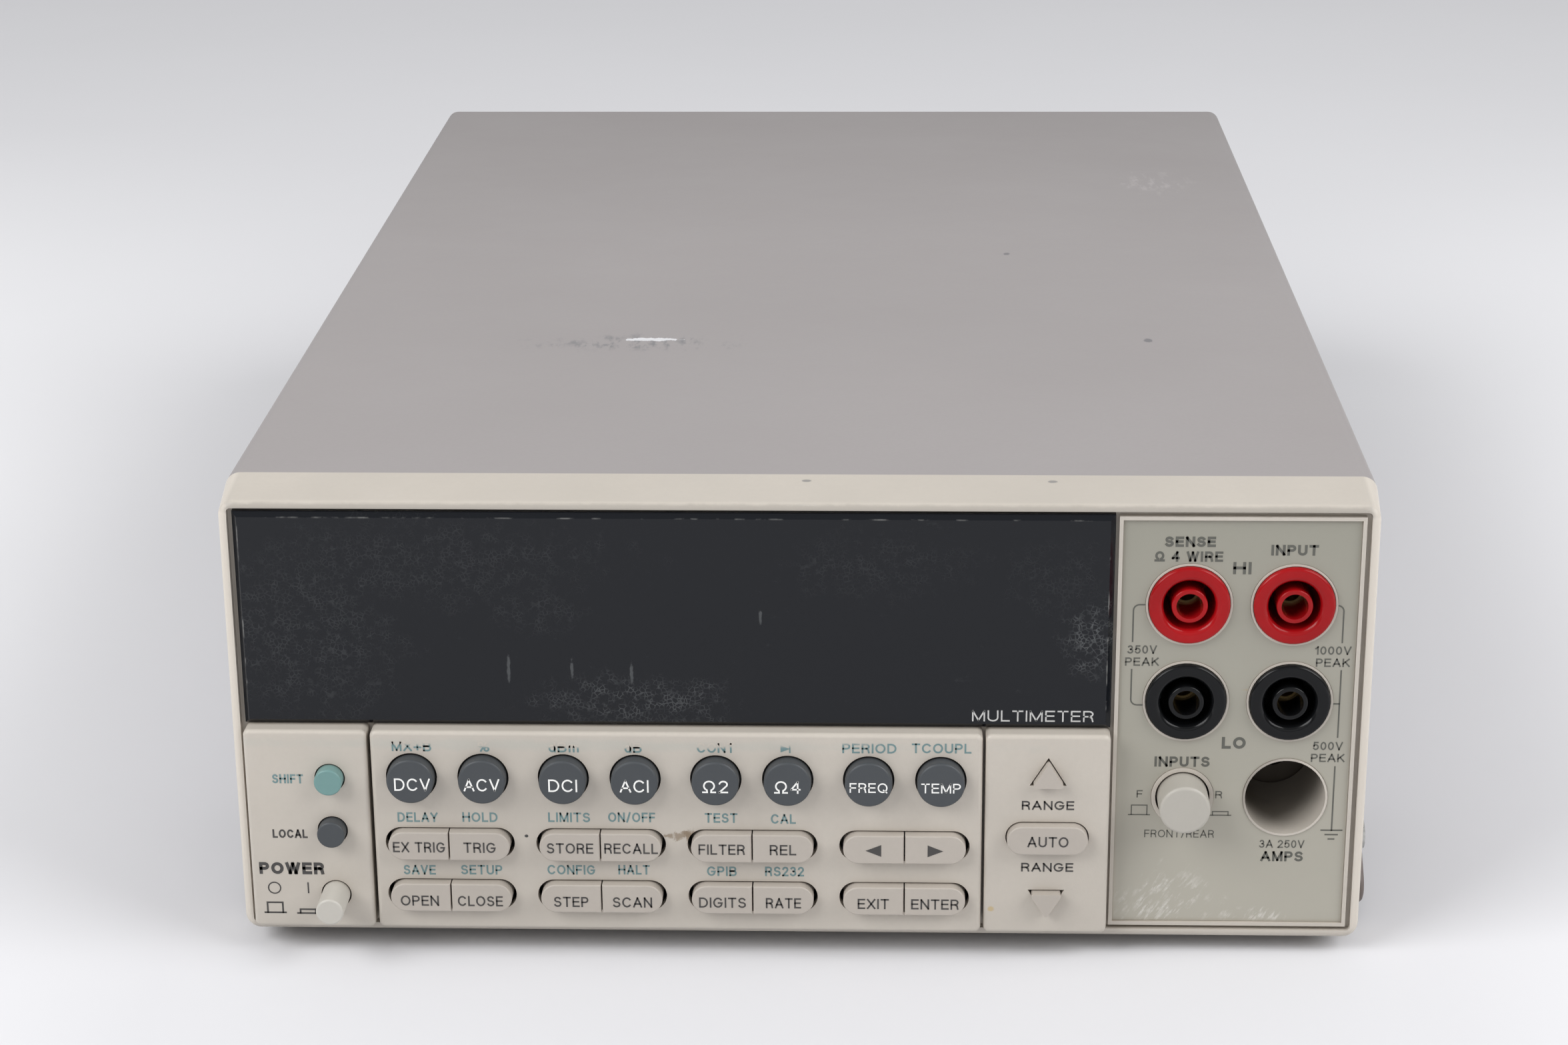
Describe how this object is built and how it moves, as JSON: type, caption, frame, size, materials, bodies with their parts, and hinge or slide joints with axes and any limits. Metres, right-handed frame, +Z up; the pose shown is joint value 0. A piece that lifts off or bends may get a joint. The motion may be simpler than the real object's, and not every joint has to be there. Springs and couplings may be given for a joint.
{
  "type": "bench multimeter",
  "caption": "Half-rack bench digital multimeter with a dark display window, push keys, red and black input jacks, and a long sheet-steel case.",
  "frame": {"origin": "on the table, under the middle of the instrument", "axes": "+X to the right of a person facing the keys, +Y from the keys to the rear panel, +Z up"},
  "size_m": [0.2204, 0.361, 0.0909],
  "materials": {
    "bezel_plastic": "moulded warm grey, fine texture",
    "lens_plastic": "dark smoked window",
    "label_film": "printed polycarbonate film",
    "cover_paint": "satin grey paint on sheet steel",
    "chassis_steel": "zinc plated sheet",
    "rear_plastic": "dark moulded plastic",
    "ear_plastic": "dark brown grey plastic",
    "foot_rubber": "soft pad",
    "key_dark": "dark grey keycap",
    "key_light": "warm grey keycap",
    "key_teal": "teal keycap",
    "button_white": "off white button",
    "jack_red": "red insulator",
    "jack_black": "black insulator",
    "contact_brass": "spring contact",
    "board_green": "glass epoxy board",
    "tube_glass": "display tube glass",
    "silicone": "silicone switch pad",
    "component": "components",
    "core_iron": "laminated core",
    "coil_tape": "taped winding",
    "black_plastic": "black moulding",
    "plated_shell": "plated connector shell",
    "screw_steel": "plated screw"
  },
  "bodies": {
    "instrument": {"front_bezel": "bezel_plastic", "display_lens": "lens_plastic", "terminal_label": "label_film", "case_cover": "cover_paint", "chassis": "chassis_steel", "rear_bezel": "rear_plastic", "left_ear": "ear_plastic", "right_ear": "ear_plastic", "foot_pads": "foot_rubber", "display_board": "board_green", "display_tube": "tube_glass", "switch_pad": "silicone", "board_stop": "black_plastic", "red_jacks": "jack_red", "black_jacks": "jack_black", "jack_contacts": "contact_brass", "amps_fuse_socket": "black_plastic", "main_board": "board_green", "board_components": "component", "transformer_core": "core_iron", "transformer_coil": "coil_tape", "power_inlet": "black_plastic", "gpib_connector": "plated_shell", "serial_connector": "plated_shell", "trigger_connectors": "plated_shell", "option_slot_cover": "chassis_steel", "power_switch": "black_plastic", "input_switch": "black_plastic", "case_screws": "screw_steel"},
    "dcv_key": {"dcv_key": "key_dark"},
    "acv_key": {"acv_key": "key_dark"},
    "dci_key": {"dci_key": "key_dark"},
    "aci_key": {"aci_key": "key_dark"},
    "ohms2_key": {"ohms2_key": "key_dark"},
    "ohms4_key": {"ohms4_key": "key_dark"},
    "freq_key": {"freq_key": "key_dark"},
    "temp_key": {"temp_key": "key_dark"},
    "ex_trig_key": {"ex_trig_key": "key_light"},
    "trig_key": {"trig_key": "key_light"},
    "store_key": {"store_key": "key_light"},
    "recall_key": {"recall_key": "key_light"},
    "filter_key": {"filter_key": "key_light"},
    "rel_key": {"rel_key": "key_light"},
    "cursor_left_key": {"cursor_left_key": "key_light"},
    "cursor_right_key": {"cursor_right_key": "key_light"},
    "open_key": {"open_key": "key_light"},
    "close_key": {"close_key": "key_light"},
    "step_key": {"step_key": "key_light"},
    "scan_key": {"scan_key": "key_light"},
    "digits_key": {"digits_key": "key_light"},
    "rate_key": {"rate_key": "key_light"},
    "exit_key": {"exit_key": "key_light"},
    "enter_key": {"enter_key": "key_light"},
    "range_up_key": {"range_up_key": "key_light"},
    "auto_key": {"auto_key": "key_light"},
    "range_down_key": {"range_down_key": "key_light"},
    "shift_key": {"shift_key": "key_teal"},
    "local_key": {"local_key": "key_dark"},
    "power_pushrod": {"power_pushrod": "button_white"},
    "inputs_pushrod": {"inputs_pushrod": "button_white"}
  },
  "joints": [
    {"name": "dcv_key_press", "type": "slide", "parent": "instrument", "child": "dcv_key", "axis": [0, 1, 0], "range_m": [0, 0.0012], "stiffness_N_per_m": 600},
    {"name": "acv_key_press", "type": "slide", "parent": "instrument", "child": "acv_key", "axis": [0, 1, 0], "range_m": [0, 0.0012], "stiffness_N_per_m": 600},
    {"name": "dci_key_press", "type": "slide", "parent": "instrument", "child": "dci_key", "axis": [0, 1, 0], "range_m": [0, 0.0012], "stiffness_N_per_m": 600},
    {"name": "aci_key_press", "type": "slide", "parent": "instrument", "child": "aci_key", "axis": [0, 1, 0], "range_m": [0, 0.0012], "stiffness_N_per_m": 600},
    {"name": "ohms2_key_press", "type": "slide", "parent": "instrument", "child": "ohms2_key", "axis": [0, 1, 0], "range_m": [0, 0.0012], "stiffness_N_per_m": 600},
    {"name": "ohms4_key_press", "type": "slide", "parent": "instrument", "child": "ohms4_key", "axis": [0, 1, 0], "range_m": [0, 0.0012], "stiffness_N_per_m": 600},
    {"name": "freq_key_press", "type": "slide", "parent": "instrument", "child": "freq_key", "axis": [0, 1, 0], "range_m": [0, 0.0012], "stiffness_N_per_m": 600},
    {"name": "temp_key_press", "type": "slide", "parent": "instrument", "child": "temp_key", "axis": [0, 1, 0], "range_m": [0, 0.0012], "stiffness_N_per_m": 600},
    {"name": "ex_trig_key_press", "type": "slide", "parent": "instrument", "child": "ex_trig_key", "axis": [0, 1, 0], "range_m": [0, 0.0012], "stiffness_N_per_m": 600},
    {"name": "trig_key_press", "type": "slide", "parent": "instrument", "child": "trig_key", "axis": [0, 1, 0], "range_m": [0, 0.0012], "stiffness_N_per_m": 600},
    {"name": "store_key_press", "type": "slide", "parent": "instrument", "child": "store_key", "axis": [0, 1, 0], "range_m": [0, 0.0012], "stiffness_N_per_m": 600},
    {"name": "recall_key_press", "type": "slide", "parent": "instrument", "child": "recall_key", "axis": [0, 1, 0], "range_m": [0, 0.0012], "stiffness_N_per_m": 600},
    {"name": "filter_key_press", "type": "slide", "parent": "instrument", "child": "filter_key", "axis": [0, 1, 0], "range_m": [0, 0.0012], "stiffness_N_per_m": 600},
    {"name": "rel_key_press", "type": "slide", "parent": "instrument", "child": "rel_key", "axis": [0, 1, 0], "range_m": [0, 0.0012], "stiffness_N_per_m": 600},
    {"name": "cursor_left_key_press", "type": "slide", "parent": "instrument", "child": "cursor_left_key", "axis": [0, 1, 0], "range_m": [0, 0.0012], "stiffness_N_per_m": 600},
    {"name": "cursor_right_key_press", "type": "slide", "parent": "instrument", "child": "cursor_right_key", "axis": [0, 1, 0], "range_m": [0, 0.0012], "stiffness_N_per_m": 600},
    {"name": "open_key_press", "type": "slide", "parent": "instrument", "child": "open_key", "axis": [0, 1, 0], "range_m": [0, 0.0012], "stiffness_N_per_m": 600},
    {"name": "close_key_press", "type": "slide", "parent": "instrument", "child": "close_key", "axis": [0, 1, 0], "range_m": [0, 0.0012], "stiffness_N_per_m": 600},
    {"name": "step_key_press", "type": "slide", "parent": "instrument", "child": "step_key", "axis": [0, 1, 0], "range_m": [0, 0.0012], "stiffness_N_per_m": 600},
    {"name": "scan_key_press", "type": "slide", "parent": "instrument", "child": "scan_key", "axis": [0, 1, 0], "range_m": [0, 0.0012], "stiffness_N_per_m": 600},
    {"name": "digits_key_press", "type": "slide", "parent": "instrument", "child": "digits_key", "axis": [0, 1, 0], "range_m": [0, 0.0012], "stiffness_N_per_m": 600},
    {"name": "rate_key_press", "type": "slide", "parent": "instrument", "child": "rate_key", "axis": [0, 1, 0], "range_m": [0, 0.0012], "stiffness_N_per_m": 600},
    {"name": "exit_key_press", "type": "slide", "parent": "instrument", "child": "exit_key", "axis": [0, 1, 0], "range_m": [0, 0.0012], "stiffness_N_per_m": 600},
    {"name": "enter_key_press", "type": "slide", "parent": "instrument", "child": "enter_key", "axis": [0, 1, 0], "range_m": [0, 0.0012], "stiffness_N_per_m": 600},
    {"name": "range_up_key_press", "type": "slide", "parent": "instrument", "child": "range_up_key", "axis": [0, 1, 0], "range_m": [0, 0.0012], "stiffness_N_per_m": 600},
    {"name": "auto_key_press", "type": "slide", "parent": "instrument", "child": "auto_key", "axis": [0, 1, 0], "range_m": [0, 0.0012], "stiffness_N_per_m": 600},
    {"name": "range_down_key_press", "type": "slide", "parent": "instrument", "child": "range_down_key", "axis": [0, 1, 0], "range_m": [0, 0.0012], "stiffness_N_per_m": 600},
    {"name": "shift_key_press", "type": "slide", "parent": "instrument", "child": "shift_key", "axis": [0, 1, 0], "range_m": [0, 0.0012], "stiffness_N_per_m": 600},
    {"name": "local_key_press", "type": "slide", "parent": "instrument", "child": "local_key", "axis": [0, 1, 0], "range_m": [0, 0.0012], "stiffness_N_per_m": 600},
    {"name": "power_latch", "type": "slide", "parent": "instrument", "child": "power_pushrod", "axis": [0, 1, 0], "range_m": [0, 0.0045]},
    {"name": "inputs_latch", "type": "slide", "parent": "instrument", "child": "inputs_pushrod", "axis": [0, 1, 0], "range_m": [0, 0.004]}
  ]
}
